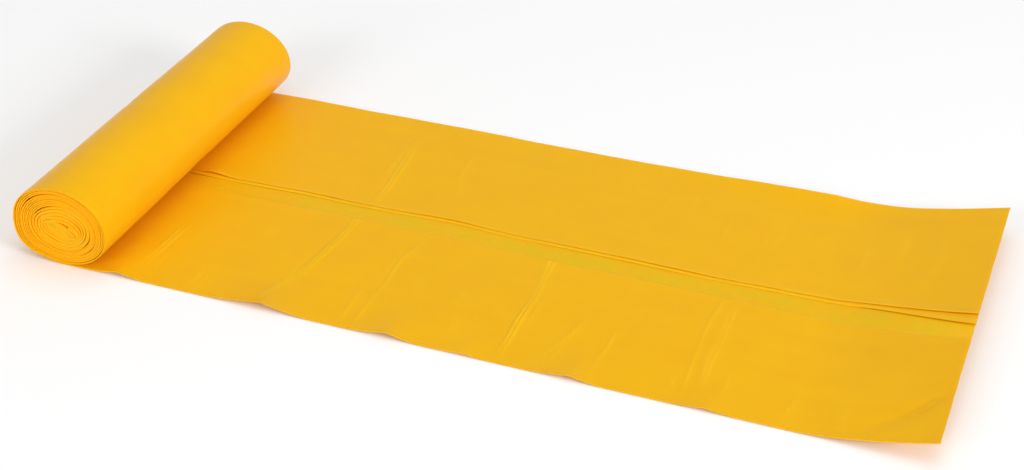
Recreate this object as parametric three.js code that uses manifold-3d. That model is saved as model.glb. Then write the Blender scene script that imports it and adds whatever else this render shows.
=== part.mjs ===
// A coreless roll of bin bags lying on its side, with its leading bag unrolled over the floor.
//
// Each bag is a flat tube of film, folded lengthwise on both sides so that its two side edges
// nearly meet on the middle line. That leaves four films in the flaps and two in the gap between
// them. The bags hang together end to end at perforations and are wound up with no core, so the
// innermost turn is a hollow pressed flat. The leading bag leaves the roll from below, lies on
// the floor and turns up at its torn end; its other end is still wound once round the roll.
//
// Millimetres, +X from the roll to the free end, +Y across the bag, +Z up. The origin is on the
// floor, under the middle of the whole thing.

import * as THREE from 'three';
import { mergeVertices } from 'three/addons/utils/BufferGeometryUtils.js';
import Module from 'manifold-3d';

const wasm = await Module();
wasm.setup();

// Bag, as cut and as folded
const bagLength = 1100; // from perforation to perforation
const tubeWidth = 700; // of the flat tube, before it is folded
const flapGap = 26; // between the two side edges, on the middle line
const flapThickness = 1.2; // four films of 0.05 with the air between them
const gapThickness = 0.6; // two films and their air
const flapLip = 0.8; // width of the slope at a flap's edge

// Roll, sagged to an oval
const rollWidth = 97;
const rollHeight = 80;
const filmClearance = 0.3; // between one turn of the leading bag and what lies under it
const coreHeight = 3; // of the flattened hollow inside the innermost turn

// Lines of the turns on the roll's ends
const turnSpacing = 4.8;
const turnLineWidth = 0.7;
const turnLineDepth = 3;
const outerMargin = 3; // solid edge outside the first line
const coreMargin = 2.6; // solid edge round the core's hollow

// Leading bag, where it lies on the floor
const laidLength = 790; // from under the roll's axis to the torn end
const curlLength = 115; // stretch at the torn end that turns up
const curlHeightNear = 21;
const curlHeightFar = 26;
const curlBend = 1.6; // power of the curl's rise: 1 is a straight ramp
const rippleReach = 50; // how far a ripple runs in from the bag's edge
const nearRipples = [ // crests of the near edge, with their distance from the roll's axis
  { at: 53, height: 4, rise: 26, fall: 34 },
  { at: 198, height: 7.5, rise: 56, fall: 42 },
  { at: 318, height: 5.2, rise: 46, fall: 32 },
  { at: 393, height: 1.6, rise: 34, fall: 26 },
  { at: 482, height: 3.4, rise: 40, fall: 44 },
  { at: 606, height: 2.6, rise: 52, fall: 34 },
];
const farRipples = [
  { at: 628, height: 4.6, rise: 210, fall: 90 },
];

// Fineness of the facets
const turnSteps = 36; // in one turn of the roll
const floorStep = 19; // longest facet along the floor

const foldedWidth = (tubeWidth + flapGap) / 2;
const nearEdge = -foldedWidth / 2;
const farEdge = foldedWidth / 2;
const wrapPitch = flapThickness + filmClearance; // what one turn of the leading bag takes up
const fullTurn = 2 * Math.PI;
const stepAngle = fullTurn / turnSteps;

// A point of the roll's side view, some way inside its outline. The angle starts on the floor
// and runs up the back (-X), over the top and down the front.
function ovalPoint(angle, inset) {
  return new THREE.Vector2(
    -(rollWidth / 2 - inset) * Math.sin(angle),
    rollHeight / 2 - (rollHeight / 2 - inset) * Math.cos(angle));
}

const wrapInset = (angle) => wrapPitch * angle / fullTurn;

// Height that the ripples of one edge give the bag at x
function rippleHeight(ripples, x) {
  return ripples.reduce((height, ripple) => {
    const reach = x < ripple.at ? ripple.rise : ripple.fall;
    const share = Math.max(0, 1 - Math.abs(x - ripple.at) / reach);
    return height + ripple.height * (1 - Math.cos(Math.PI * share)) / 2;
  }, 0);
}

// Height of the bag's underside above the floor
function floorLift(x, y) {
  const nearShare = Math.max(0, 1 - (y - nearEdge) / rippleReach);
  const farShare = Math.max(0, 1 - (farEdge - y) / rippleReach);
  const ripple = rippleHeight(nearRipples, x) * nearShare ** 2
    + rippleHeight(farRipples, x) * farShare ** 2;
  const curlShare = Math.max(0, (x - laidLength + curlLength) / curlLength);
  const curlHeight = THREE.MathUtils.mapLinear(y, nearEdge, farEdge, curlHeightNear, curlHeightFar);
  return Math.max(ripple * (1 - curlShare), 0) + curlHeight * curlShare ** curlBend;
}

const thicknessAt = (y) => (Math.abs(y) <= flapGap / 2 ? gapThickness : flapThickness);

// Values from the first knot to the last, through every knot, no further apart than longestStep
function spread(knots, longestStep) {
  const sorted = [...new Set(knots)].sort((a, b) => a - b);
  return sorted.flatMap((knot, i) => {
    if (i === 0) return [knot];
    const span = knot - sorted[i - 1];
    const count = Math.ceil(span / longestStep);
    return Array.from({ length: count }, (_, k) => knot - span * (1 - (k + 1) / count));
  });
}

// Angle at which the leading bag ends, once the length that isn't on the floor is wound up
function wrapEndAngle() {
  let left = bagLength - laidLength;
  let angle = 0;
  let from = ovalPoint(0, 0);
  for (;;) {
    const next = angle + stepAngle;
    const to = ovalPoint(next, wrapInset(next));
    const chord = to.distanceTo(from);
    if (chord >= left) return angle + stepAngle * left / chord;
    left -= chord;
    angle = next;
    from = to;
  }
}

// A closed skin over a grid of stations along the bag, each with a row of points on the bag's
// underside and a row on its upper side, from the near edge to the far edge
function closedSheet(stations) {
  const rows = stations.length;
  const columns = stations[0].under.length;
  const positions = stations.flatMap(({ under, over }) => [...under, ...over])
    .flatMap((point) => point.toArray());
  const under = (i, j) => i * 2 * columns + j;
  const over = (i, j) => under(i, j) + columns;
  const faces = [];
  const quad = (a, b, c, d) => faces.push(a, b, c, a, c, d);
  for (let i = 0; i + 1 < rows; i += 1) {
    for (let j = 0; j + 1 < columns; j += 1) {
      quad(over(i, j), over(i + 1, j), over(i + 1, j + 1), over(i, j + 1));
      quad(under(i, j), under(i, j + 1), under(i + 1, j + 1), under(i + 1, j));
    }
    const last = columns - 1;
    quad(under(i, 0), under(i + 1, 0), over(i + 1, 0), over(i, 0));
    quad(over(i, last), over(i + 1, last), under(i + 1, last), under(i, last));
  }
  for (let j = 0; j + 1 < columns; j += 1) {
    const last = rows - 1;
    quad(under(0, j), over(0, j), over(0, j + 1), under(0, j + 1));
    quad(over(last, j), under(last, j), under(last, j + 1), over(last, j + 1));
  }
  const geometry = new THREE.BufferGeometry();
  geometry.setAttribute('position', new THREE.Float32BufferAttribute(positions, 3));
  geometry.setIndex(faces);
  geometry.computeVertexNormals();
  return geometry;
}

// The leading bag: from its perforation inside the roll, round the roll, along the floor and up
// to its torn end
function leadingBagGeometry(endAngle) {
  const halfGap = flapGap / 2;
  const across = [
    nearEdge, nearEdge + rippleReach / 4, nearEdge + rippleReach / 2, nearEdge + rippleReach,
    -halfGap - flapLip, -halfGap, halfGap, halfGap + flapLip,
    farEdge - rippleReach, farEdge - rippleReach / 2, farEdge,
  ];
  const wrapAngles = spread([endAngle, stepAngle], stepAngle).reverse();
  const wound = wrapAngles.map((angle) => {
    const inset = wrapInset(angle);
    const outer = ovalPoint(angle, inset);
    return {
      under: across.map((y) => new THREE.Vector3(outer.x, y, outer.y)),
      over: across.map((y) => {
        const inner = ovalPoint(angle, inset + thicknessAt(y));
        return new THREE.Vector3(inner.x, y, inner.y);
      }),
    };
  });
  const crests = [...nearRipples, ...farRipples].map((ripple) => ripple.at);
  const laid = spread([0, ...crests, laidLength - curlLength, laidLength], floorStep).map((x) => ({
    under: across.map((y) => new THREE.Vector3(x, y, floorLift(x, y))),
    over: across.map((y) => new THREE.Vector3(x, y, floorLift(x, y) + thicknessAt(y))),
  }));
  return closedSheet([...wound, ...laid]);
}

// A side view drawn in X and Z, made a solid that runs along Y and is centred on the bag
function acrossBag(shape, length, middleY = 0) {
  const geometry = new THREE.ExtrudeGeometry(shape, { depth: length, bevelEnabled: false });
  geometry.rotateX(Math.PI / 2);
  geometry.translate(0, middleY + length / 2, 0);
  return geometry;
}

function toSolid(geometry) {
  const bare = geometry.clone();
  bare.deleteAttribute('normal');
  bare.deleteAttribute('uv');
  const merged = mergeVertices(bare);
  return new wasm.Manifold(new wasm.Mesh({
    numProp: 3,
    vertProperties: merged.attributes.position.array,
    triVerts: Uint32Array.from(merged.index.array),
  }));
}

function toGeometry(solid) {
  const { vertProperties, triVerts } = solid.getMesh();
  const geometry = new THREE.BufferGeometry();
  geometry.setAttribute('position', new THREE.Float32BufferAttribute(vertProperties, 3));
  geometry.setIndex(Array.from(triVerts));
  geometry.computeVertexNormals();
  return geometry;
}

// Side view of the bags still wound up: the leading bag's spiral goes on for one more turn, and
// closes in a step as high as that bag is thick, where the perforation joins the two
function woundOutline(startAngle) {
  const angles = spread([startAngle, startAngle + fullTurn], stepAngle);
  return new THREE.Shape(angles.map((angle) => ovalPoint(angle, wrapInset(angle))));
}

// The hollow inside the innermost turn, drawn the other way round from the outline
function coreHollow() {
  const inset = (rollHeight - coreHeight) / 2;
  const points = Array.from({ length: turnSteps }, (_, k) => ovalPoint(-k * stepAngle, inset));
  return new THREE.Path(points);
}

// The line that the turns draw on the roll's ends: a spiral band from the outside to the core
function turnLine(startAngle) {
  const firstInset = wrapInset(startAngle + fullTurn) + outerMargin;
  const lastInset = (rollHeight - coreHeight) / 2 - coreMargin;
  const turns = (lastInset - firstInset) / turnSpacing;
  const angles = spread([startAngle, startAngle + turns * fullTurn], stepAngle);
  const insetAt = (angle) => firstInset + turnSpacing * (angle - startAngle) / fullTurn;
  const outside = angles.map((angle) => ovalPoint(angle, insetAt(angle)));
  const inside = angles.map((angle) => ovalPoint(angle, insetAt(angle) + turnLineWidth));
  return new THREE.Shape([...outside, ...inside.reverse()]);
}

function woundBagsGeometry(endAngle) {
  const seam = ovalPoint(endAngle, wrapInset(endAngle));
  const startAngle = endAngle + filmClearance / seam.distanceTo(ovalPoint(0, rollHeight / 2));
  const outline = woundOutline(startAngle);
  outline.holes.push(coreHollow());
  const line = turnLine(startAngle);
  const cuts = [nearEdge, farEdge].map((end) => toSolid(acrossBag(line, 2 * turnLineDepth, end)));
  const body = toSolid(acrossBag(outline, foldedWidth));
  return toGeometry(cuts.reduce((solid, cut) => solid.subtract(cut), body));
}

function filmMaterial(color) {
  return new THREE.MeshStandardMaterial({ color, roughness: 0.42, metalness: 0 });
}

function namedMesh(name, geometry, material) {
  const mesh = new THREE.Mesh(geometry, material);
  mesh.name = name;
  return mesh;
}

const endAngle = wrapEndAngle();
const leadingBag = namedMesh('leading_bag', leadingBagGeometry(endAngle), filmMaterial(0xf2b416));
const woundBags = namedMesh('wound_bags', woundBagsGeometry(endAngle), filmMaterial(0xf5a714));

const bagRoll = new THREE.Group();
bagRoll.add(leadingBag, woundBags);
const middle = new THREE.Box3().setFromObject(bagRoll).getCenter(new THREE.Vector3());
bagRoll.position.x = -middle.x;

export default bagRoll;
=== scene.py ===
import math

import bpy
import numpy as np
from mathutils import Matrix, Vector


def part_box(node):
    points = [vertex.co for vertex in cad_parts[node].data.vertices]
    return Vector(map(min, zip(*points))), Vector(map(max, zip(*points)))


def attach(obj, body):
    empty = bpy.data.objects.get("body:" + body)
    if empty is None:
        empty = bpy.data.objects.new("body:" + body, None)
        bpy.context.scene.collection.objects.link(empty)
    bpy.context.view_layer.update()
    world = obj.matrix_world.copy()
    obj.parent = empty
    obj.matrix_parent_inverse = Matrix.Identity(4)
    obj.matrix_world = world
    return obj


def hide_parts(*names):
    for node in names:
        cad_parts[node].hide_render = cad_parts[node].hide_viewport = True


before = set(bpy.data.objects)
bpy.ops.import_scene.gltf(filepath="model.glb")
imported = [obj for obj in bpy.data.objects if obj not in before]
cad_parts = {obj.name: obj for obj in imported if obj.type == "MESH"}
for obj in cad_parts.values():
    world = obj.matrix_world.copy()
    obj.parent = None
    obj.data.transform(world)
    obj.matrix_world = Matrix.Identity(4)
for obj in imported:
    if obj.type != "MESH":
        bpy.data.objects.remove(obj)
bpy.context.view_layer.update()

MM = 0.001
FULL_TURN = 2 * math.pi

# Bag and roll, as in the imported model, but for a longer curl at the far side
BAG_LENGTH = 1100 * MM
LAID_LENGTH = 790 * MM  # from under the roll's axis to the torn end
ROLL_WIDTH = 97 * MM
ROLL_HEIGHT = 80 * MM
WRAP_PITCH = 1.4 * MM  # what one turn of the leading bag takes up
PERFORATION_GAP = 0.3 * MM
CURL_LENGTH_NEAR, CURL_LENGTH_FAR = 115, 150  # in mm, as the relief is
CURL_HEIGHT_NEAR, CURL_HEIGHT_FAR = 21, 26
CURL_BEND = 1.6

bag_low, bag_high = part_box("leading_bag")
NEAR_EDGE, FAR_EDGE = bag_low.y, bag_high.y
FOLDED_WIDTH = FAR_EDGE - NEAR_EDGE
ROLL_AXIS_X = bag_high.x - LAID_LENGTH

# Film as it is modelled: a pair of films is one skin
SKIN = 0.16 * MM
LOWER_LEVEL = 0.1 * MM  # middle of the lower pair above the floor
UPPER_LEVEL = 0.45 * MM  # middle of the flaps' pair on the floor
WOUND_LEVEL = 1.15 * MM  # and on the roll, where the folds puff the bag up

# Camera, from the photograph
CAMERA_FROM_AXIS = Vector((882.5, -1340.2, 920.2)) * MM
CAMERA_YAW = 21.10
CAMERA_PITCH = 32.42
FOCAL_PIXELS = 1842
PICTURE_WIDTH = 1024
SENSOR_WIDTH = 36


# Nodes written as expressions

class Field:
    """An output of a node tree; sums, products and the like on it add their own Math nodes."""

    def __init__(self, net, socket):
        self.net, self.socket = net, socket

    def math(self, operation, *others):
        operands = dict(enumerate((self, *others)))
        return self.net.node("ShaderNodeMath", {"operation": operation}, operands)

    def __add__(self, other):
        return self.math("ADD", other)

    def __sub__(self, other):
        return self.math("SUBTRACT", other)

    def __mul__(self, other):
        return self.math("MULTIPLY", other)

    def __truediv__(self, other):
        return self.math("DIVIDE", other)

    def __mod__(self, other):
        return self.math("FLOORED_MODULO", other)

    def __gt__(self, other):
        return self.math("GREATER_THAN", other)

    def __neg__(self):
        return self.math("MULTIPLY", -1)

    def __abs__(self):
        return self.math("ABSOLUTE")

    def __rsub__(self, other):
        return -self + other

    __radd__ = __add__
    __rmul__ = __mul__

    def sin(self):
        return self.math("SINE")

    def cos(self):
        return self.math("COSINE")

    def exp(self):
        return self.math("EXPONENT")

    def whole(self):
        return self.math("ROUND")

    def least(self, other):
        return self.math("MINIMUM", other)

    def most(self, other):
        return self.math("MAXIMUM", other)

    def smooth(self):
        """0 below 0, 1 above 1 and an even rise between them."""
        share = self.most(0).least(1)
        return share * share * (3 - 2 * share)


class Net:
    """A node tree being built."""

    def __init__(self, tree):
        self.tree = tree

    def node(self, kind, settings=None, sockets=None, output=0):
        made = self.tree.nodes.new(kind)
        for name, value in (settings or {}).items():
            setattr(made, name, value)
        for key, value in (sockets or {}).items():
            if isinstance(value, Field):
                self.tree.links.new(value.socket, made.inputs[key])
            else:
                made.inputs[key].default_value = value
        return Field(self, made.outputs[output]) if made.outputs else made

    def vector(self, x, y, z):
        return self.node("ShaderNodeCombineXYZ", None, {"X": x, "Y": y, "Z": z})

    def vector_math(self, operation, *operands, output=0):
        return self.node("ShaderNodeVectorMath", {"operation": operation},
                         dict(enumerate(operands)), output)

    def noise(self, place, scale, detail, distortion=0.0, dimensions="3D"):
        return self.node("ShaderNodeTexNoise", {"noise_dimensions": dimensions}, {
            "Vector": place, "Scale": scale, "Detail": detail, "Distortion": distortion})

    def scaled(self, place, scale):
        return self.node("ShaderNodeMapping", None, {"Vector": place, "Scale": scale})

    def mixed(self, share, first, second):
        return self.node("ShaderNodeMix", {"data_type": "RGBA"},
                         {"Factor": share, 6: first, 7: second}, output=2)

    def material_value(self, name):
        return self.node("ShaderNodeAttribute", {"attribute_name": name}, output="Fac")

    def stored(self, name, kind="FLOAT"):
        return self.node("GeometryNodeInputNamedAttribute", {"data_type": kind}, {"Name": name})

    def store(self, geometry, name, value, kind="FLOAT"):
        return self.node("GeometryNodeStoreNamedAttribute", {"data_type": kind, "domain": "POINT"},
                         {"Geometry": geometry, "Name": name, "Value": value})

    def moved(self, geometry, place):
        return self.node("GeometryNodeSetPosition", None, {"Geometry": geometry, "Position": place})


# Shapes of lines, for numbers and arrays

def bell(distance, width):
    return np.exp(-(distance / width) ** 2)


def smooth_step(value, start, end):
    share = np.clip((value - start) / (end - start), 0, 1)
    return share * share * (3 - 2 * share)


def through(knots, x):
    """A smooth line through a few knots, never higher or lower than the two it runs between."""
    xs, ys = np.array(knots, float).T
    rises = np.diff(ys) / np.diff(xs)
    before, after = rises[:-1], rises[1:]
    onward = before * after > 0
    inner = np.where(onward, 2 * before * after / np.where(onward, before + after, 1), 0)
    slopes = np.concatenate([rises[:1], inner, rises[-1:]])
    here = np.clip(np.searchsorted(xs, x, side="right") - 1, 0, len(xs) - 2)
    step = xs[here + 1] - xs[here]
    t = np.clip((x - xs[here]) / step, 0, 1)
    eased = ys[here] + (ys[here + 1] - ys[here]) * t * t * (3 - 2 * t)
    return eased + step * t * (1 - t) * (slopes[here] * (1 - t) - slopes[here + 1] * t)


def evenly(start, end, count):
    """Points from start on, all but the end."""
    return np.linspace(start, end, count, endpoint=False)


# Side view of the roll; angles start on the floor and run up the back (-X)

SETTLED_BULGE = 0.10  # the roll's weight pushes its back out near the floor
SETTLED_ANGLE = math.radians(54)
SETTLED_SPREAD = math.radians(25)
WRAP_ROW_ANGLE = math.radians(5)


def angle_from(centre, angle):
    """The angle counted from the centre, up to half a turn either way; a field works too."""
    return (angle - centre + math.pi) % FULL_TURN - math.pi


def oval_point(angle, inset):
    bulge = 1 + SETTLED_BULGE * bell(angle_from(SETTLED_ANGLE, angle), SETTLED_SPREAD)
    x = ROLL_AXIS_X - (ROLL_WIDTH / 2 - inset) * np.sin(angle) * bulge
    z = ROLL_HEIGHT / 2 - (ROLL_HEIGHT / 2 - inset) * np.cos(angle) * bulge
    return x, z


def wrap_inset(angle):
    return WRAP_PITCH * angle / FULL_TURN


def wrap_angles():
    """Angles of the leading bag's rows on the roll, from its perforation down to the floor."""
    fine = np.linspace(0, 2 * FULL_TURN, 1441)
    x, z = oval_point(fine, wrap_inset(fine))
    wound = np.concatenate([[0], np.cumsum(np.hypot(np.diff(x), np.diff(z)))])
    end = np.interp(BAG_LENGTH - LAID_LENGTH, wound, fine)
    return evenly(end, 0, math.ceil(end / WRAP_ROW_ANGLE))


# Relief of the leading bag; x is from the roll's axis and y from the near edge, both in mm

# Crests of an edge: place, height, length of the rise and of the fall
NEAR_RIPPLES = ((54, 4, 26, 30), (199, 6.8, 62, 50), (319, 4.9, 40, 30),
                (392, 1.6, 30, 20), (486, 4.2, 40, 26), (602, 2.8, 40, 28))
FAR_RIPPLES = ((628, 4.6, 210, 90),)
RIPPLE_REACH = 50

# Creases across the bag: points (x, y), height, spacing of the twin ridges, width of a ridge
CREASES = (
    (((190, 10), (195, 27), (206, 60), (211, 93), (215, 130), (216, 176)), 1.3, 4, 1.2),
    (((200, 50), (199, 88)), 0.7, 0, 1.2),
    (((219, 188), (218, 230), (215, 270), (209, 322)), 1.2, 4, 1.2),
    (((205, 244), (205, 302)), 0.7, 0, 1.2),
    (((284, 12), (285, 70), (283, 115), (290, 152)), 0.9, 0, 1.4),
    (((271, 10), (270, 64)), 0.8, 0, 1.3),
    (((277, 82), (278, 118)), 0.5, 0, 1.4),
    (((292, 236), (277, 272), (274, 320)), 0.5, 0, 1.8),
    (((419, 8), (417, 60), (417, 108), (412, 172)), 1.1, 3.6, 1.1),
    (((426, 56), (425, 104)), 0.6, 0, 1.2),
    (((450, 8), (463, 53), (473, 86)), 1.0, 0, 1.3),
    (((458, 10), (468, 48)), 0.7, 0, 1.2),
    (((499, 12), (501, 82)), 0.8, 0, 1.3),
    (((492, 50), (511, 84)), 0.6, 0, 1.4),
    (((566, 12), (568, 40)), 0.6, 0, 1.2),
    (((578, 20), (572, 100), (574, 162)), 0.7, 0, 1.3),
    (((589, 30), (587, 154)), 0.7, 3.4, 1.2),
    (((609, 22), (610, 58)), 0.5, 0, 1.3),
    (((66, 22), (71, 96)), 0.7, 4, 1.3),
    (((78, 20), (79, 50)), 0.5, 0, 1.2),
    (((126, 12), (127, 42)), 0.5, 8, 1.3),
    (((355, 68), (360, 100)), 0.5, 0, 1.5),
    (((369, 20), (365, 52)), 0.6, 4, 1.2),
    (((645, 86), (656, 140)), 0.3, 0, 1.6),
    (((659, 8), (671, 46)), 0.9, 0, 1.3),
    (((711, 8), (707, 38)), 0.5, 4, 1.3),
    (((478, 250), (482, 318)), 0.35, 0, 1.8),
    (((503, 290), (506, 330)), 0.4, 0, 1.6),
    (((547, 250), (544, 322)), 0.4, 0, 1.6),
    (((586, 216), (584, 300)), 0.35, 0, 1.8),
    (((592, 240), (598, 330)), 0.35, 0, 1.8),
    (((675, 232), (678, 284)), 0.5, 0, 1.8),
    (((708, 262), (707, 322)), 0.35, 0, 3.2),
    (((732, 222), (744, 262), (741, 318)), 0.4, 0, 3.6),
    (((724, 8), (762, 38), (788, 72)), -1.8, 0, 8.0),
)
CREASE_FADE = 16
CREASE_OVERRUN = 4

# The bag has close rows along sharp creases
SHARP_CREASE = 0.45
SHARP_REACH = 3
CLOSE_ROWS, WIDE_ROWS = 1.2, 4.0

# Long low swells: wavelengths along and across, phase, height
SWELLS = ((310, 260, 0.4, 0.22), (170, -240, 1.9, 0.18), (96, 410, 3.3, 0.12),
          (61, -150, 5.1, 0.07), (43, 118, 2.6, 0.05))


def ripple_height(ripples, x, sharpness):
    height = np.zeros_like(x)
    for at, crest, rise, fall in ripples:
        share = np.clip(1 - np.abs(x - at) / np.where(x < at, rise, fall), 0, 1)
        height += crest * share ** sharpness
    return height


def curl_height(x, y):
    """The turned-up end, longer and higher at its far side; also how far along it x is."""
    across = y / (FOLDED_WIDTH / MM)
    length = CURL_LENGTH_NEAR + (CURL_LENGTH_FAR - CURL_LENGTH_NEAR) * across
    share = np.clip(1 - (LAID_LENGTH / MM - x) / length, 0, 1)
    height = CURL_HEIGHT_NEAR + (CURL_HEIGHT_FAR - CURL_HEIGHT_NEAR) * across
    return height * share ** CURL_BEND, share


def floor_lift(x, y):
    """Height of the underside above the floor, in mm; its ripples are sharper than the solid's."""
    width = FOLDED_WIDTH / MM
    near = ripple_height(NEAR_RIPPLES, x, 1.5) * np.clip(1 - y / RIPPLE_REACH, 0, 1) ** 1.7
    far = ripple_height(FAR_RIPPLES, x, 1.3) * np.clip(1 - (width - y) / RIPPLE_REACH, 0, 1) ** 2
    curl, curl_share = curl_height(x, y)
    return (near + far) * (1 - curl_share) + curl


def creases(x, y):
    """Height of the creases, and how much pale colour lies on their ridges: partly stress-whitened film,
    partly a painted highlight.
    """
    height, whitening_and_highlight = np.zeros_like(x), np.zeros_like(x)
    for points, crest, spacing, ridge in CREASES:
        xs, ys = zip(*points)
        middle = np.interp(y, ys, xs) + 0.4 * np.sin(y / 11 + xs[0]) + 0.2 * np.sin(y / 4.3 + xs[-1])
        fade = smooth_step(y, ys[0] - CREASE_OVERRUN, ys[0] + CREASE_FADE)
        fade = fade * (1 - smooth_step(y, ys[-1] - CREASE_FADE, ys[-1] + CREASE_OVERRUN))
        fade = fade * (0.8 + 0.25 * np.sin(y / 17 + xs[0]))
        for side in ((-0.5, 0.5) if spacing else (0,)):
            line = fade * bell(x - middle - side * spacing, ridge)
            height += crest * line
            # Pale colour on each ridge: partly stress whitening, partly a painted highlight
            whitening_and_highlight += max(0, crest) * line
    return height, whitening_and_highlight


def swell_height(x, y):
    height = np.zeros_like(x)
    for along, across, phase, crest in SWELLS:
        height += crest * (1 + np.sin(FULL_TURN * (x / along + y / across) + phase))
    return height


def bag_rows():
    """Distances from the roll's axis, in mm, at which the laid bag has a row."""
    zones = []
    for points, crest, spacing, _ in CREASES:
        if crest > SHARP_CREASE:
            xs = [x for x, _ in points]
            reach = spacing / 2 + SHARP_REACH
            zones.append((min(xs) - reach, max(xs) + reach))
    rows = [0.0]
    while rows[-1] < LAID_LENGTH / MM:
        inside = any(low <= rows[-1] <= high for low, high in zones)
        rows.append(rows[-1] + (CLOSE_ROWS if inside else WIDE_ROWS))
    return np.array(rows[:-1] + [LAID_LENGTH / MM])


# Section of the folded film. A point is (y, height, share of two films only, share of pale
# colour: a painted highlight on edges and ridges); each part of a section has the same number of points
# in every row of the bag

# Lines along the bag: the near flap's edge, and the far flap's pleat beside its edge
NEAR_FLAP = ((0, 165), (207, 166), (415, 163.5), (518, 163.5), (650, 161.5), (700, 157), (790, 145))
FAR_PLEAT = ((0, 190), (60, 190), (110, 190.5), (155, 192.3), (207, 191.8), (300, 195.3), (363, 192.6),
             (467, 192), (539, 191.2), (622, 192.8), (684, 194.0), (726, 191.2), (790, 181))
PLEAT_WIDTH = ((0, 4.5), (600, 4.5), (690, 6), (790, 15))

# How far the pleat and the flap's edge stand off what lies under them: 1 is most
PLEAT_LIFT = ((0, 0.2), (25, 1), (50, 1), (80, 0.3), (130, 0.25), (180, 0.6), (215, 0.3), (300, 0.7),
              (360, 0.3), (450, 0.35), (540, 0.8), (580, 0.4), (650, 0.45), (700, 0.8), (790, 1.5))
EDGE_LIFT = ((0, 0), (680, 0), (720, 0.7), (790, 1))

# The far flap's film stands open where it comes out from under the roll
NOTCH_PLACE, NOTCH_LENGTH, NOTCH_WIDTH, NOTCH_HEIGHT = 42, 17, 12, 2.6

# Points across an edge or fold: distance from it, rise, paleness (a painted highlight along the edge or
# crest)
NEAR_FLAP_EDGE = ((0, -0.15, 0), (0.5, -0.05, 0.2), (1.4, 0.2, 0.5), (3, 0.26, 0.2), (6, 0.1, 0),
                  (11, 0, 0))
PLEAT_CREST = ((16, 0, 0), (10, 0.1, 0), (6, 0.35, 0), (3.5, 0.75, 0.1), (2, 1.05, 0.6),
               (1, 1.12, 0.7), (0.3, 1.0, 0.3))
PLEAT_TURN = ((0, 0.8), (0.5, 0.6), (1.5, 0.5))
PLEAT_BACK = (2.2, 1.5, 0.4)
# The band's paleness is a painted highlight: a lighter band between the pleat and the flap's edge
PLEAT_BAND = ((0.25, -0.02, 0), (0.5, 0.14, 0.5), (0.7, 0.1, 0.5), (0.88, -0.04, 0.4),
              (1, -0.16, 0.3))  # distance as a share of the band's width
FLAP_FROM_FOLD = (0.5, 1.4, 3, 6, 10, 16)
UNDERSIDE_FROM_NEAR_FOLD = (0.5, 1.4, 3, 4.5, 6, 8, 11, 16)
UNDERSIDE_FROM_FAR_FOLD = (0.5, 1.4, 3, 6, 8, 11, 16)
FLAP_POINTS = 16
FOLD_SPRING = 0.45  # how far the laid bag's folds spring open
SPRING_REACH = 4


def fold_points(lower, upper, spring):
    """Round a fold from the flap to the underside: distance from the fold, and height."""
    middle = (lower + upper + spring) / 2
    return (0.12, middle + 0.28 + spring * 0.3), (0.0, middle), (0.12, lower + 0.1)


def sprung(distance, upper, spring):
    return upper + spring * math.exp(-distance / SPRING_REACH)


def near_flap(edge, upper, spring, laid):
    points = [(edge - inward, upper + rise * laid, 0, pale * laid)
              for inward, rise, pale in NEAR_FLAP_EDGE]
    points += [(y, upper, 0, 0) for y in evenly(edge - 18, 18, FLAP_POINTS)]
    return points + [(y, sprung(y, upper, spring), 0, 0) for y in reversed(FLAP_FROM_FOLD)]


def underside(near_edge, far_edge, lower, laid):
    width = FOLDED_WIDTH / MM
    points = [(y, lower, 0, 0) for y in UNDERSIDE_FROM_NEAR_FOLD]
    points += [(y, lower, 0, 0) for y in evenly(30, near_edge - 3, 7)]
    points += [(y, lower, laid, 0) for y in evenly(near_edge - 3, far_edge + 3, 8)]
    points += [(y, lower, 0, 0) for y in evenly(far_edge + 6, width - 16, 8)]
    return points + [(width - y, lower, 0, 0) for y in reversed(UNDERSIDE_FROM_FAR_FOLD)]


def far_flap(pleat, upper, spring):
    width = FOLDED_WIDTH / MM
    points = [(width - y, sprung(y, upper, spring), 0, 0) for y in FLAP_FROM_FOLD]
    return points + [(y, upper, 0, 0) for y in evenly(width - 22, pleat + 19, FLAP_POINTS)]


def pleat_and_edge(x, pleat, far_edge, upper, laid):
    """The far flap's pleat, folded back over its own edge, and the band out to that edge."""
    lift = laid * through(PLEAT_LIFT, x)
    edge_lift = laid * through(EDGE_LIFT, x)
    notch = NOTCH_HEIGHT * laid * bell(x - NOTCH_PLACE, NOTCH_LENGTH)
    points = [(pleat + outward, upper + rise * lift + notch * bell(outward, NOTCH_WIDTH), 0, pale * laid)
              for outward, rise, pale in PLEAT_CREST]
    points += [(pleat + outward, upper + rise * lift + notch * bell(outward, NOTCH_WIDTH), 0, 0)
               for outward, rise in PLEAT_TURN]
    points += [(pleat + outward, upper - 0.1 * laid + 0.4 * notch, 0, 0) for outward in PLEAT_BACK]
    for share, rise, pale in PLEAT_BAND:
        raised = 0.9 * edge_lift * share * share
        height = upper + laid * rise + raised + 0.4 * notch * (1 - share)
        points.append((pleat - (pleat - far_edge) * share, height, 0, pale * laid))
    return points


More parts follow.
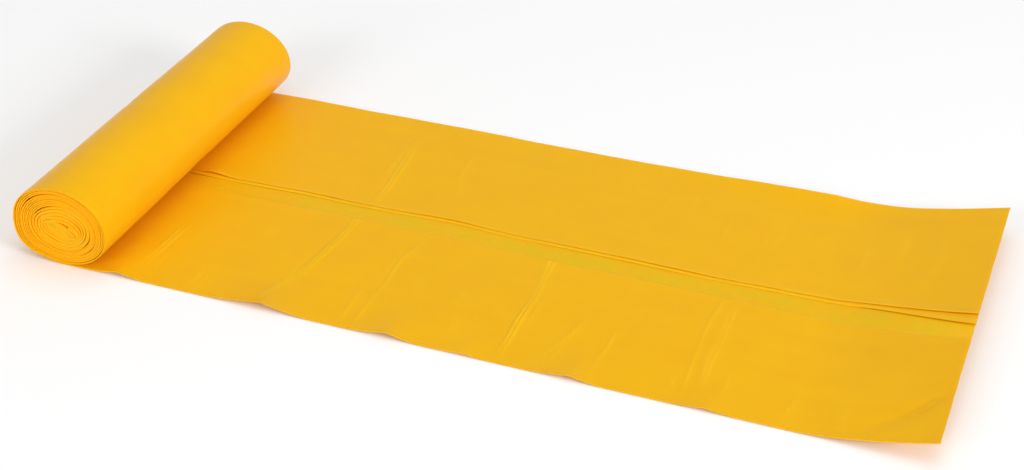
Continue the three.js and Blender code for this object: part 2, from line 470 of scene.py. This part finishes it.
def bag_section(x, laid):
    """One row of the folded film, from the near flap's edge round the bag to the far flap's.

    y is from the near edge and the height from the bag's underside, in mm. laid is 0 on the
    roll and 1 on the floor.
    """
    width = FOLDED_WIDTH / MM
    lower = LOWER_LEVEL / MM
    upper = (WOUND_LEVEL + (UPPER_LEVEL - WOUND_LEVEL) * laid) / MM
    spring = FOLD_SPRING * laid
    near_edge = through(NEAR_FLAP, x)
    pleat = through(FAR_PLEAT, x)
    far_edge = pleat - through(PLEAT_WIDTH, x)
    fold = fold_points(lower, upper, spring)
    points = near_flap(near_edge, upper, spring, laid)
    points += [(from_fold, height, 0, 0) for from_fold, height in fold]
    points += underside(near_edge, far_edge, lower, laid)
    points += [(width - from_fold, height, 0, 0) for from_fold, height in reversed(fold)]
    points += far_flap(pleat, upper, spring)
    points += pleat_and_edge(x, pleat, far_edge, upper, laid)
    return np.array(points).T


# The leading bag. A row is its places, shares of two films only and shares of pale colour: a painted
# highlight on edges and ridges, partly stress whitening on the creases

HOLLOW_DEPTH, HOLLOW_WIDTH = 0.5, 14  # the wrap sinks in where the flaps don't meet
END_LINES, END_LINE_DEPTH, END_LINE_WIDTH = (4.5, 11), 0.22, 0.9
WANDER = 0.35
FLAT_UNDER_ROLL = (0.1, 0.6)  # angles between which the wrap starts to be uneven
LAYING_DOWN = (18, 60)  # between these the bag goes over from puffed up to flat
OUTER_FILM_LEVEL = 0.4
TORN_END_WAVE, TORN_END_DEPTH = 0.25, 3


def wrapped_row(angle):
    width = FOLDED_WIDTH / MM
    y, level, two_films, pale = bag_section(0.0, 0.0)
    hollow = HOLLOW_DEPTH * bell(y - width / 2, HOLLOW_WIDTH) * bell(level, OUTER_FILM_LEVEL)
    from_end = np.minimum(y, width - y)
    lines = END_LINE_DEPTH * sum(bell(from_end - at, END_LINE_WIDTH) for at in END_LINES)
    wander = WANDER * (np.sin(3 * angle + y / 46) + np.sin(2 * angle - y / 71 + 1.3)) / 2
    uneven = (wander - lines * bell(level, OUTER_FILM_LEVEL)) * smooth_step(angle, *FLAT_UNDER_ROLL)
    inset = wrap_inset(angle) + (level + hollow + uneven) * MM
    side_x, side_z = oval_point(angle, inset)
    return np.column_stack([side_x, NEAR_EDGE + y * MM, side_z]), two_films, pale


def laid_row(x):
    laid = float(smooth_step(x, *LAYING_DOWN))
    y, level, two_films, pale = bag_section(x, laid)
    along = np.full_like(y, x)
    share = np.clip(level / (UPPER_LEVEL / MM), 0.35, 1)
    crease_height, crease_pale = creases(along, y)
    relief = laid * share * (crease_height + swell_height(along, y))
    torn = smooth_step(x, LAID_LENGTH / MM - TORN_END_DEPTH, LAID_LENGTH / MM)
    end_wave = TORN_END_WAVE * np.sin(y / 3.1) * np.sin(y / 7.7 + 2) * torn
    height = np.maximum(floor_lift(along, y) + relief, 0) + level
    places = [ROLL_AXIS_X + (x + end_wave) * MM, NEAR_EDGE + y * MM, height * MM]
    # Painted highlight of the fold edges and of the crease ridges together
    pale = np.clip(pale + crease_pale * (1 - two_films), 0, 1)
    return np.column_stack(places), two_films, pale


def leading_bag():
    """The leading bag: a flat tube of film folded in from both sides, as one skin."""
    rows = [wrapped_row(angle) for angle in wrap_angles()] + [laid_row(x) for x in bag_rows()]
    places, two_films, pale = (np.concatenate(part) for part in zip(*rows))
    columns = len(places) // len(rows)
    faces = [(i * columns + j, i * columns + j + 1, (i + 1) * columns + j + 1, (i + 1) * columns + j)
             for i in range(len(rows) - 1) for j in range(columns - 1)]
    mesh = bpy.data.meshes.new("leading_bag_film")
    mesh.from_pydata(places.tolist(), [], faces)
    for name, values in (("two_films", two_films), ("whitening_and_highlight", pale)):
        attribute = mesh.attributes.new(name, "FLOAT", "POINT")
        attribute.data.foreach_set("value", values.astype(np.float32))
    piece = bpy.data.objects.new("leading_bag_film", mesh)
    bpy.context.scene.collection.objects.link(piece)
    solidify = piece.modifiers.new("skin", "SOLIDIFY")
    solidify.thickness = SKIN
    solidify.offset = 0
    return made_plain(piece)


def made_plain(piece):
    """Replaces a piece's mesh with what its modifiers make of it."""
    evaluated = piece.evaluated_get(bpy.context.evaluated_depsgraph_get())
    mesh = bpy.data.meshes.new_from_object(evaluated)
    piece.modifiers.clear()
    piece.data = mesh
    mesh.name = piece.name
    mesh.shade_smooth()
    mesh.set_sharp_from_angle(angle=math.radians(50))
    return piece


# The bags still wound up. Turns are counted out from the middle, where the film's end is
# tucked in the other way round, so that the middle of the section is an S

WHOLE_TURNS = 15
CORE_END_ANGLE = 292  # where the spiral sets out from the roll's middle
FIRST_INSET = 0.85 * MM  # of the first turn, inside the leading bag's end
END_INSET = 1 * MM
CHANGE_OVER = 0.5  # turns over which one pitch gives way to the next

# Gaps between turns: turns in from the outside, middle angle, half its span in degrees, mm
GAPS = (
    (2.9, 138, 62, 0.7),
    (1.7, 270, 30, 0.6),
    (5.0, 308, 40, 0.6),
    (9.6, 148, 50, 1.1),
    (9.6, 215, 40, 0.4),
    (9.6, 292, 42, 1.1),
    (13.5, 118, 34, 1.6),
    (12.9, 20, 34, 1.0),
    (12.6, 245, 30, 0.8),
)

# Shares of the pitch left open: everywhere, and between loose turns by angle and spread
LEAST_GAP = 0.05
LOOSE_GAPS = ((0.40, 275, 42), (0.24, 98, 36))

WINDING_INPUTS = (
    ("Turns", "Float", 16.0), ("Tucked Turns", "Float", 0.75), ("Loose Turns", "Float", 4.3),
    ("Steps Per Turn", "Int", 90), ("Start Angle", "Float", 0.0), ("Roll Length", "Float", 0.363),
    ("Half Width", "Float", 0.046), ("Half Height", "Float", 0.0375),
    ("Tucked Pitch", "Float", 0.009), ("Loose Pitch", "Float", 0.0034),
    ("Axis X", "Float", 0.0), ("Axis Z", "Float", 0.04), ("Core Sag", "Float", 0.004),
    ("Core Half Width", "Float", 0.012), ("Core Tilt", "Float", math.radians(22)),
    ("Uneven Ends", "Float", 0.0007), ("Seed", "Int", 7), ("Material", "Material", None),
)


def tree_inputs(net, table):
    """Gives the tree its named inputs, and returns them as fields."""
    group_in = net.tree.nodes.new("NodeGroupInput")
    inputs = {}
    for name, kind, value in table:
        socket = net.tree.interface.new_socket(name, in_out="INPUT", socket_type=f"NodeSocket{kind}")
        if value is not None:
            socket.default_value = value
        inputs[name] = Field(net, group_in.outputs[name])
    return inputs


def hump(angle, centre, spread):
    """1 where the angle is at the centre, less on both sides of it."""
    away = angle_from(centre, angle) / spread
    return (-(away * away)).exp()


def spiral_radius(inputs, out):
    """Half the spiral's height by turns out from the middle, and the pitch of its tight turns."""
    tucked, loose = inputs["Tucked Turns"], inputs["Loose Turns"]
    loose_radius = inputs["Tucked Pitch"] * tucked + inputs["Loose Pitch"] * loose
    tight_pitch = (inputs["Half Height"] - loose_radius) / (inputs["Turns"] - tucked - loose)
    radius = (inputs["Tucked Pitch"] * out.least(tucked)
              + inputs["Loose Pitch"] * (out - tucked).most(0).least(loose)
              + tight_pitch * (out - tucked - loose).most(0))
    return radius, tight_pitch


def gap_depth(inputs, inward):
    """How far the turns inside a gap are pressed in."""
    openings = []
    for at_turn, angle, half_span, size in GAPS:
        passed = inward - inputs["Start Angle"] > at_turn * FULL_TURN
        away = abs(angle_from(math.radians(angle), inward))
        openings.append((1 - away / math.radians(half_span)).smooth() * passed * (size * MM))
    return sum(openings)


def spiral_place(net, inputs, out, inward, turned, radius):
    """A point of the film's path: an oval outside, a flattened, sunken and tilted S inside."""
    share = radius / inputs["Half Height"]
    radius = (radius - gap_depth(inputs, inward) * (share / 0.3).smooth()).most(0)
    flat_core = inputs["Core Half Width"] * (1 - share) * (1 - share) + share * (
        inputs["Half Width"] - inputs["Half Height"])
    half_wide = radius + flat_core * (out / 0.1).smooth()
    bulge = 1 + SETTLED_BULGE * share * share * hump(inward, SETTLED_ANGLE, SETTLED_SPREAD)
    flat_x = -(half_wide * turned.sin()) * bulge
    flat_z = -(radius * turned.cos()) * bulge
    tilt = inputs["Core Tilt"] * (1 - (share / 0.55).smooth())
    sag = inputs["Core Sag"] * (1 - share)
    x = inputs["Axis X"] + flat_x * tilt.cos() + flat_z * tilt.sin() + 0.5 * sag
    z = inputs["Axis Z"] - sag + flat_z * tilt.cos() - flat_x * tilt.sin()
    return net.vector(x, 0.0, z)


def stack_thickness(inputs, out, turned, tight_pitch):
    """How thick the films of one turn are together."""
    tucked, loose = inputs["Tucked Turns"], inputs["Loose Turns"]
    tucked_spacing = inputs["Tucked Pitch"] * 0.5
    to_tight = ((out - tucked - loose) / CHANGE_OVER).smooth()
    spacing = (tucked_spacing
               + (inputs["Loose Pitch"] - tucked_spacing) * ((out - tucked) / 0.6 + 0.5).smooth()
               + (tight_pitch - inputs["Loose Pitch"]) * to_tight)
    open_share = sum(share * hump(turned, math.radians(angle), math.radians(spread))
                     for share, angle, spread in LOOSE_GAPS)
    return spacing * (1 - (LEAST_GAP + (1 - to_tight) * open_share))


def swept_band(net, inputs, path, unit):
    """A band as long as the roll and one unit thick, swept along the path."""
    curve = net.node("GeometryNodeMeshToCurve", None, {"Mesh": path})
    curve = net.node("GeometryNodeSetCurveNormal", {"mode": "FREE"},
                     {"Curve": curve, "Normal": (0.0, 1.0, 0.0)})
    profile = net.node("GeometryNodeCurvePrimitiveQuadrilateral", {"mode": "RECTANGLE"},
                       {"Width": inputs["Roll Length"], "Height": unit})
    profile = net.node("GeometryNodeFilletCurve", {"mode": "POLY"},
                       {"Curve": profile, "Count": 3, "Radius": 0.35 * unit})
    return net.node("GeometryNodeCurveToMesh", None,
                    {"Curve": curve, "Profile Curve": profile, "Fill Caps": True})


def end_push(net, inputs, position, side):
    """How far the film stands out at the roll's ends: each turn a little differently."""
    turn = net.stored("turn")
    turn_place = net.vector(turn * 0.83 + inputs["Seed"], side * 5.0, 0.0)
    ragged = net.noise(turn_place, 1.0, 1.0, dimensions="2D")
    waver_place = net.vector_math("ADD", position, net.vector(turn * 0.02, 0.0, 0.0))
    waver = net.noise(waver_place, 60.0, 1.0)
    return ((ragged - 0.5) * 4 + (waver - 0.5) * 1.2) * inputs["Uneven Ends"]


def thickened(net, inputs, band, unit):
    """Brings the swept band to its thickness, and keeps how deep in the turn each point lies."""
    centre = net.stored("path_place", "FLOAT_VECTOR")
    position = net.node("GeometryNodeInputPosition")
    parts = net.tree.nodes.new("ShaderNodeSeparateXYZ")
    net.tree.links.new(net.vector_math("SUBTRACT", position, centre).socket, parts.inputs[0])
    across_x, across_y, across_z = (Field(net, output) for output in parts.outputs)
    scale = net.stored("stack") / unit
    side = (across_y > 0) * 2 - 1
    pushed = across_y + side * end_push(net, inputs, position, side)
    depth = net.vector_math("LENGTH", net.vector(across_x * scale, 0.0, across_z * scale),
                            output="Value")
    band = net.store(band, "through", depth)
    return net.moved(band, net.vector_math(
        "ADD", centre, net.vector(across_x * scale, pushed, across_z * scale)))


def wound_film_tree():
    """Winds a flat band of film into the roll: tucked-in middle, loose turns, then tight ones."""
    tree = bpy.data.node_groups.new("wound_film", "GeometryNodeTree")
    tree.interface.new_socket("Geometry", in_out="OUTPUT", socket_type="NodeSocketGeometry")
    net = Net(tree)
    inputs = tree_inputs(net, WINDING_INPUTS)

    turns, tucked = inputs["Turns"], inputs["Tucked Turns"]
    count = ((turns + tucked) * inputs["Steps Per Turn"]).whole()
    turn = net.node("GeometryNodeInputIndex") / (count - 1) * (turns + tucked) - tucked
    out = abs(turn)
    inward = inputs["Start Angle"] + (turns - out) * FULL_TURN
    turned = inward + (1 - (turn > 0)) * math.pi
    radius, tight_pitch = spiral_radius(inputs, out)
    place = spiral_place(net, inputs, out, inward, turned, radius)

    path = net.moved(net.node("GeometryNodeMeshLine", {"mode": "OFFSET"}, {"Count": count}), place)
    path = net.store(path, "path_place", place, "FLOAT_VECTOR")
    path = net.store(path, "stack", stack_thickness(inputs, out, turned, tight_pitch))
    path = net.store(path, "turn", out)
    unit = 1 * MM
    band = thickened(net, inputs, swept_band(net, inputs, path, unit), unit)
    band = net.node("GeometryNodeSetShadeSmooth", None, {"Geometry": band, "Shade Smooth": True})
    band = net.node("GeometryNodeRealizeInstances", None, {"Geometry": band})
    band = net.node("GeometryNodeSetMaterial", None,
                    {"Geometry": band, "Material": inputs["Material"]})
    group_out = tree.nodes.new("NodeGroupOutput")
    tree.links.new(band.socket, group_out.inputs[0])
    return tree


def set_inputs(modifier, values):
    identifiers = {item.name: item.identifier for item in modifier.node_group.interface.items_tree
                   if item.in_out == "INPUT"}
    for name, value in values.items():
        modifier[identifiers[name]] = value


def wound_bags(material):
    mesh = bpy.data.meshes.new("wound_bag_film")
    piece = bpy.data.objects.new("wound_bag_film", mesh)
    bpy.context.scene.collection.objects.link(piece)
    modifier = piece.modifiers.new("wound film", "NODES")
    modifier.node_group = wound_film_tree()
    bag_end = float(wrap_angles()[0])
    start = bag_end + PERFORATION_GAP / (ROLL_WIDTH / 2)
    inset = wrap_inset(bag_end) + FIRST_INSET
    part_turn = (math.radians(CORE_END_ANGLE) - start) % FULL_TURN / FULL_TURN
    set_inputs(modifier, {
        "Turns": WHOLE_TURNS + part_turn, "Start Angle": start,
        "Roll Length": FOLDED_WIDTH - 2 * END_INSET,
        "Half Width": ROLL_WIDTH / 2 - inset, "Half Height": ROLL_HEIGHT / 2 - inset,
        "Axis X": ROLL_AXIS_X, "Axis Z": ROLL_HEIGHT / 2, "Material": material})
    return made_plain(piece)


# Finishes

FILM_COLOUR = (0.965, 0.445, 0.005)
WOUND_COLOUR = (0.97, 0.440, 0.005)
STRIP_COLOUR = (0.85, 0.47, 0.006, 1.0)  # where the bag is only two films thick
# Pale colour on crease ridges and fold edges: a painted highlight, on the creases partly stress-whitened
# film
WHITENING_AND_HIGHLIGHT_COLOUR = (1.0, 0.53, 0.012, 1.0)
GLOSS_TINT = (1.0, 0.55, 0.08, 1.0)
FILM_LINES = 0.26 * MM  # spacing of the fine lines on the roll's ends


def shades(colour):
    """A darker and a lighter shade of a colour."""
    darker = tuple(part * share for part, share in zip(colour, (0.96, 0.92, 0.9)))
    lighter = tuple(min(1, part * share) for part, share in zip(colour, (1.03, 1.07, 1.1)))
    return darker + (1.0,), lighter + (1.0,)


def bag_film(name, base, wound=False):
    """Satin polyethylene film: faint streaks along the bag, mottling, fine crinkles."""
    material = bpy.data.materials.new(name)
    material.use_nodes = True
    material.node_tree.nodes.clear()
    net = Net(material.node_tree)
    place = net.node("ShaderNodeTexCoord", output="Object")
    streaks = net.noise(net.scaled(place, (3.0, 60.0, 40.0)), 1.0, 3.0) - 0.5
    pulls = net.noise(net.scaled(place, (170.0, 14.0, 60.0)), 1.0, 2.0) - 0.5
    mottle = net.noise(place, 22.0, 3.0) - 0.5
    crinkle = net.noise(place, 95.0, 4.0, 0.6) - 0.5
    grain = net.noise(place, 900.0, 2.0) - 0.5

    colour = net.mixed(streaks * 0.5 + mottle * 0.6 + 0.5, *shades(base))
    height = mottle * 0.9 + crinkle * 0.35 + grain * 0.03 + pulls * 0.5
    if wound:
        films = (net.material_value("through") * (FULL_TURN / FILM_LINES) + mottle * 4).sin()
        height = height * 0.4 + films * 0.16
    else:
        two_films = net.material_value("two_films")
        patches = (mottle * 2.0 + streaks * 2.6 + crinkle * 1.6 + 0.5).most(0.1).least(1)
        colour = net.mixed(two_films * patches, colour, STRIP_COLOUR)
        # Painted highlight along ridges and fold edges, partly stress whitening on the creases
        colour = net.mixed(net.material_value("whitening_and_highlight") * 0.7, colour, WHITENING_AND_HIGHLIGHT_COLOUR)
        height = height + two_films * crinkle * 3.0
    bump = net.node("ShaderNodeBump", None, {
        "Height": height, "Strength": 0.55, "Distance": 0.35 * MM})
    surface = net.node("ShaderNodeBsdfPrincipled", None, {
        "Base Color": colour, "Roughness": 0.36 + mottle * 0.25 + grain * 0.08, "Normal": bump,
        "IOR": 1.5, "Specular IOR Level": 0.14, "Specular Tint": GLOSS_TINT,
        "Subsurface Weight": 0.2, "Subsurface Radius": (1.0, 0.35, 0.05), "Subsurface Scale": 4 * MM})
    net.node("ShaderNodeOutputMaterial", None, {"Surface": surface})
    return material


# Studio

FLOOR_REACH = 12.0
FLOOR_LEVEL = -0.2 * MM


def plain_floor():
    material = bpy.data.materials.new("pale_floor")
    material.use_nodes = True
    surface = material.node_tree.nodes["Principled BSDF"]
    surface.inputs["Base Color"].default_value = (0.92, 0.92, 0.92, 1)
    surface.inputs["Roughness"].default_value = 0.9
    surface.inputs["Specular IOR Level"].default_value = 0.1
    mesh = bpy.data.meshes.new("floor")
    corners = [(x * FLOOR_REACH, y * FLOOR_REACH, 0) for x, y in ((-1, -1), (1, -1), (1, 1), (-1, 1))]
    mesh.from_pydata(corners, [], [(0, 1, 2, 3)])
    mesh.materials.append(material)
    floor = bpy.data.objects.new("floor", mesh)
    floor.location.z = FLOOR_LEVEL
    bpy.context.scene.collection.objects.link(floor)


def soft_light(name, place, target, size, power):
    data = bpy.data.lights.new(name, "AREA")
    data.shape = "RECTANGLE"
    data.size, data.size_y = size
    data.energy = power
    lamp = bpy.data.objects.new(name, data)
    lamp.location = place
    lamp.rotation_euler = (Vector(target) - Vector(place)).to_track_quat("-Z", "Y").to_euler()
    bpy.context.scene.collection.objects.link(lamp)


def studio():
    world = bpy.data.worlds.new("studio")
    bpy.context.scene.world = world
    world.use_nodes = True
    background = world.node_tree.nodes["Background"]
    background.inputs["Color"].default_value = (1, 1, 1, 1)
    background.inputs["Strength"].default_value = 0.58
    soft_light("top_light", (0.3, 0.2, 3.8), (0, 0, 0), (4, 3), 42)
    soft_light("side_light", (4.4, -1.6, 2.0), (-0.2, 0, 0), (1.8, 1.2), 120)
    soft_light("front_light", (-1.4, -4.2, 1.9), (-0.2, 0, 0), (2.4, 1.6), 60)
    bpy.context.scene.view_settings.view_transform = "Standard"


def camera():
    data = bpy.data.cameras.new("camera")
    data.sensor_width = SENSOR_WIDTH
    data.lens = FOCAL_PIXELS * SENSOR_WIDTH / PICTURE_WIDTH
    eye = bpy.data.objects.new("camera", data)
    eye.location = CAMERA_FROM_AXIS + Vector((ROLL_AXIS_X, 0, 0))
    eye.rotation_euler = (math.radians(90 - CAMERA_PITCH), 0, math.radians(CAMERA_YAW))
    bpy.context.scene.collection.objects.link(eye)
    bpy.context.scene.camera = eye


camera()
studio()
plain_floor()

film = bag_film("bag_film", FILM_COLOUR)
wound_film = bag_film("wound_film", WOUND_COLOUR, wound=True)

bag = leading_bag()
bag.data.materials.append(film)
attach(bag, "root")
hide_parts("leading_bag")

wound = wound_bags(wound_film)
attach(wound, "root")
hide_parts("wound_bags")
